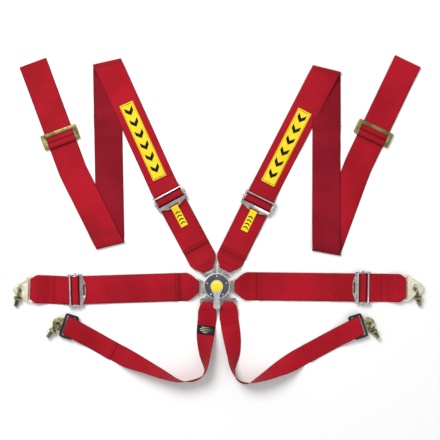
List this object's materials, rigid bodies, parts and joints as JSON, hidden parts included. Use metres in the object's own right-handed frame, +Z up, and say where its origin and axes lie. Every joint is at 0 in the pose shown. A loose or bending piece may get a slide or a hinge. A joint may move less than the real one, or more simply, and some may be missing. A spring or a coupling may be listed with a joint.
{
  "type": "racing harness",
  "caption": "Red webbing harness laid flat: central cam-lock buckle with tongues on shoulder, lap and crotch straps, adjusters, slides, snap hooks and eyebolts.",
  "frame": {"origin": "centre of the cam-lock buckle, on the flat back of its base plate, which is the surface the harness lies on", "axes": "+X to the right lap strap, +Y up the shoulder straps, +Z up out of the buckle face"},
  "size_m": [1.1051, 0.8886, 0.0508],
  "materials": {
    "webbing": "woven polyester webbing",
    "label": "smooth woven label",
    "cover": "fine matte",
    "silver": "satin",
    "tongueSteel": "satin plated",
    "nickel": "satin nickel",
    "brass": "olive chromate plating",
    "zinc": "pale yellow zinc plating",
    "olive": "dark olive chromate plating",
    "blackPlastic": "satin black",
    "badge": "gloss"
  },
  "bodies": {
    "buckle": {"buckle_base": "silver", "buckle_body": "silver", "buckle_cover": "cover", "cover_screw_1": "silver", "cover_screw_2": "silver", "cover_screw_3": "silver", "cover_screw_4": "silver", "cover_screw_5": "silver", "lever_spring": "tongueSteel", "lap_left_tongue": "tongueSteel", "lap_left_tongue_strap": "webbing", "lap_left_anchor_strap": "webbing"},
    "lever_body": {"lever": "silver", "lever_badge": "badge"},
    "lock": {"lock_plate": "tongueSteel"},
    "shoulder_left": {"shoulder_left_tongue": "tongueSteel", "shoulder_left_tongue_strap": "webbing", "shoulder_left_long_strap": "webbing", "shoulder_left_label": "label", "shoulder_left_slide": "brass"},
    "shoulder_right": {"shoulder_right_tongue": "tongueSteel", "shoulder_right_tongue_strap": "webbing", "shoulder_right_long_strap": "webbing", "shoulder_right_label": "label", "shoulder_right_slide": "brass"},
    "lap_right": {"lap_right_tongue": "tongueSteel", "lap_right_tongue_strap": "webbing", "lap_right_anchor_strap": "webbing"},
    "crotch_left": {"crotch_left_tongue": "tongueSteel", "crotch_left_strap": "webbing"},
    "crotch_right": {"crotch_right_tongue": "tongueSteel", "crotch_right_strap": "webbing"},
    "adjuster_shoulder_left": {"shoulder_left_adjuster_frame": "nickel", "shoulder_left_adjuster_pin": "nickel"},
    "lock_bar_shoulder_left": {"shoulder_left_lock_bar": "nickel"},
    "adjuster_shoulder_right": {"shoulder_right_adjuster_frame": "nickel", "shoulder_right_adjuster_pin": "nickel"},
    "lock_bar_shoulder_right": {"shoulder_right_lock_bar": "nickel"},
    "adjuster_lap_left": {"lap_left_adjuster_frame": "nickel", "lap_left_adjuster_pin": "nickel"},
    "lock_bar_lap_left": {"lap_left_lock_bar": "nickel"},
    "adjuster_lap_right": {"lap_right_adjuster_frame": "nickel", "lap_right_adjuster_pin": "nickel"},
    "lock_bar_lap_right": {"lap_right_lock_bar": "nickel"},
    "pull_tab_left": {"shoulder_left_pull_tab": "label"},
    "pull_tab_right": {"shoulder_right_pull_tab": "label"},
    "hook_lap_left": {"lap_left_hook": "zinc"},
    "hook_lap_right": {"lap_right_hook": "zinc"},
    "hook_crotch_left": {"crotch_left_frame": "blackPlastic", "crotch_left_hook": "olive"},
    "hook_crotch_right": {"crotch_right_frame": "blackPlastic", "crotch_right_hook": "olive"},
    "gate_lap_left": {"lap_left_gate": "zinc"},
    "eyebolt_lap_left": {"lap_left_eyebolt": "olive"},
    "gate_lap_right": {"lap_right_gate": "zinc"},
    "eyebolt_lap_right": {"lap_right_eyebolt": "olive"},
    "gate_crotch_left": {"crotch_left_gate": "olive"},
    "eyebolt_crotch_left": {"crotch_left_eyebolt": "olive"},
    "gate_crotch_right": {"crotch_right_gate": "olive"},
    "eyebolt_crotch_right": {"crotch_right_eyebolt": "olive"}
  },
  "joints": [
    {"name": "lever_turn", "type": "hinge", "parent": "buckle", "child": "lever_body", "pos_m": [0, 0, 0.022], "axis": [0, 0, 1], "range_deg": [0, 90], "stiffness_Nm_per_rad": 0.03},
    {"name": "lock_drop", "type": "slide", "parent": "buckle", "child": "lock", "axis": [0, 0, -1], "range_m": [0, 0.0036]},
    {"name": "shoulder_left_release", "type": "slide", "parent": "buckle", "child": "shoulder_left", "axis": [-0.4719, 0.8816, 0], "range_m": [0, 0.012]},
    {"name": "shoulder_right_release", "type": "slide", "parent": "buckle", "child": "shoulder_right", "axis": [0.4437, 0.8962, 0], "range_m": [0, 0.012]},
    {"name": "lap_right_release", "type": "slide", "parent": "buckle", "child": "lap_right", "axis": [0.9999, -0.0117, 0], "range_m": [0, 0.012]},
    {"name": "crotch_left_release", "type": "slide", "parent": "buckle", "child": "crotch_left", "axis": [-0.515, -0.8572, 0], "range_m": [0, 0.012]},
    {"name": "crotch_right_release", "type": "slide", "parent": "buckle", "child": "crotch_right", "axis": [0.5446, -0.8387, 0], "range_m": [0, 0.012]},
    {"name": "shoulder_left_adjuster_tilt", "type": "hinge", "parent": "shoulder_left", "child": "adjuster_shoulder_left", "pos_m": [-0.12692, 0.23709, 0.0053], "axis": [-0.8816, -0.4719, 0], "range_deg": [0, 16], "deforming": ["shoulder_left_tongue_strap", "shoulder_left_long_strap"]},
    {"name": "shoulder_left_lock_bar_slide", "type": "slide", "parent": "adjuster_shoulder_left", "child": "lock_bar_shoulder_left", "axis": [-0.4719, 0.8816, 0], "range_m": [0, 0.002], "deforming": ["shoulder_left_long_strap"]},
    {"name": "shoulder_right_adjuster_tilt", "type": "hinge", "parent": "shoulder_right", "child": "adjuster_shoulder_right", "pos_m": [0.1115, 0.2252, 0.0053], "axis": [-0.8962, 0.4437, 0], "range_deg": [0, 16], "deforming": ["shoulder_right_tongue_strap", "shoulder_right_long_strap"]},
    {"name": "shoulder_right_lock_bar_slide", "type": "slide", "parent": "adjuster_shoulder_right", "child": "lock_bar_shoulder_right", "axis": [0.4437, 0.8962, 0], "range_m": [0, 0.002], "deforming": ["shoulder_right_long_strap"]},
    {"name": "lap_left_adjuster_tilt", "type": "hinge", "parent": "buckle", "child": "adjuster_lap_left", "pos_m": [-0.38101, -0.01197, 0.0053], "axis": [0.0314, -0.9995, 0], "range_deg": [0, 16], "deforming": ["lap_left_tongue_strap", "lap_left_anchor_strap"]},
    {"name": "lap_left_lock_bar_slide", "type": "slide", "parent": "adjuster_lap_left", "child": "lock_bar_lap_left", "axis": [-0.9995, -0.0314, 0], "range_m": [0, 0.002], "deforming": ["lap_left_anchor_strap"]},
    {"name": "lap_right_adjuster_tilt", "type": "hinge", "parent": "lap_right", "child": "adjuster_lap_right", "pos_m": [0.39397, -0.00461, 0.0053], "axis": [0.0117, 0.9999, 0], "range_deg": [0, 16], "deforming": ["lap_right_tongue_strap", "lap_right_anchor_strap"]},
    {"name": "lap_right_lock_bar_slide", "type": "slide", "parent": "adjuster_lap_right", "child": "lock_bar_lap_right", "axis": [0.9999, -0.0117, 0], "range_m": [0, 0.002], "deforming": ["lap_right_anchor_strap"]},
    {"name": "shoulder_left_tab_lift", "type": "hinge", "parent": "adjuster_shoulder_left", "child": "pull_tab_left", "pos_m": [-0.11408, 0.21311, 0.011], "axis": [-0.8816, -0.4719, 0], "range_deg": [0, 45]},
    {"name": "shoulder_right_tab_lift", "type": "hinge", "parent": "adjuster_shoulder_right", "child": "pull_tab_right", "pos_m": [0.09943, 0.20083, 0.011], "axis": [-0.8962, 0.4437, 0], "range_deg": [0, 45]},
    {"name": "lap_left_hook_pivot", "type": "hinge", "parent": "buckle", "child": "hook_lap_left", "pos_m": [-0.4998, -0.00784, 0.011], "axis": [0.0436, 0.999, 0], "range_deg": [0, 45], "deforming": ["lap_left_anchor_strap"]},
    {"name": "lap_left_gate_turn", "type": "hinge", "parent": "hook_lap_left", "child": "gate_lap_left", "pos_m": [-0.51603, 0.01396, 0.0135], "axis": [0, 0, 1], "range_deg": [0, 14], "stiffness_Nm_per_rad": 0.01},
    {"name": "lap_left_eyebolt_swivel", "type": "hinge", "parent": "hook_lap_left", "child": "eyebolt_lap_left", "pos_m": [-0.529, -0.008, 0.011], "axis": [0, 0, 1], "range_deg": [-15, 4]},
    {"name": "lap_right_hook_pivot", "type": "hinge", "parent": "lap_right", "child": "hook_lap_right", "pos_m": [0.50636, -0.00592, 0.011], "axis": [-0.0117, -0.9999, 0], "range_deg": [0, 45], "deforming": ["lap_right_anchor_strap"]},
    {"name": "lap_right_gate_turn", "type": "hinge", "parent": "hook_lap_right", "child": "gate_lap_right", "pos_m": [0.52326, 0.01664, 0.0135], "axis": [0, 0, -1], "range_deg": [0, 14], "stiffness_Nm_per_rad": 0.01},
    {"name": "lap_right_eyebolt_swivel", "type": "hinge", "parent": "hook_lap_right", "child": "eyebolt_lap_right", "pos_m": [0.535, -0.006, 0.011], "axis": [0, 0, 1], "range_deg": [-4, 15]},
    {"name": "crotch_left_frame_pivot", "type": "hinge", "parent": "crotch_left", "child": "hook_crotch_left", "pos_m": [-0.39798, -0.10884, 0.011], "axis": [0.309, 0.9511, 0], "range_deg": [0, 20], "deforming": ["crotch_left_strap"]},
    {"name": "crotch_left_gate_turn", "type": "hinge", "parent": "hook_crotch_left", "child": "gate_crotch_left", "pos_m": [-0.41713, -0.08948, 0.0135], "axis": [0, 0, 1], "range_deg": [0, 14], "stiffness_Nm_per_rad": 0.01},
    {"name": "crotch_left_eyebolt_swivel", "type": "hinge", "parent": "hook_crotch_left", "child": "eyebolt_crotch_left", "pos_m": [-0.42556, -0.09988, 0.011], "axis": [0, 0, 1], "range_deg": [-20, 18]},
    {"name": "crotch_right_frame_pivot", "type": "hinge", "parent": "crotch_right", "child": "hook_crotch_right", "pos_m": [0.38048, -0.10884, 0.011], "axis": [0.309, -0.9511, 0], "range_deg": [0, 20], "deforming": ["crotch_right_strap"]},
    {"name": "crotch_right_gate_turn", "type": "hinge", "parent": "hook_crotch_right", "child": "gate_crotch_right", "pos_m": [0.39963, -0.08948, 0.0135], "axis": [0, 0, -1], "range_deg": [0, 14], "stiffness_Nm_per_rad": 0.01},
    {"name": "crotch_right_eyebolt_swivel", "type": "hinge", "parent": "hook_crotch_right", "child": "eyebolt_crotch_right", "pos_m": [0.40806, -0.09988, 0.011], "axis": [0, 0, 1], "range_deg": [-12, 20]}
  ],
  "couplings": [
    {"joint": "lock_drop", "follows": "lever_turn", "m_per_rad": 0.0022918},
    {"joint": "shoulder_left_release", "follows": "lever_turn", "m_per_rad": 0.0076394},
    {"joint": "shoulder_right_release", "follows": "lever_turn", "m_per_rad": 0.0076394},
    {"joint": "lap_right_release", "follows": "lever_turn", "m_per_rad": 0.0076394},
    {"joint": "crotch_left_release", "follows": "lever_turn", "m_per_rad": 0.0076394},
    {"joint": "crotch_right_release", "follows": "lever_turn", "m_per_rad": 0.0076394}
  ]
}
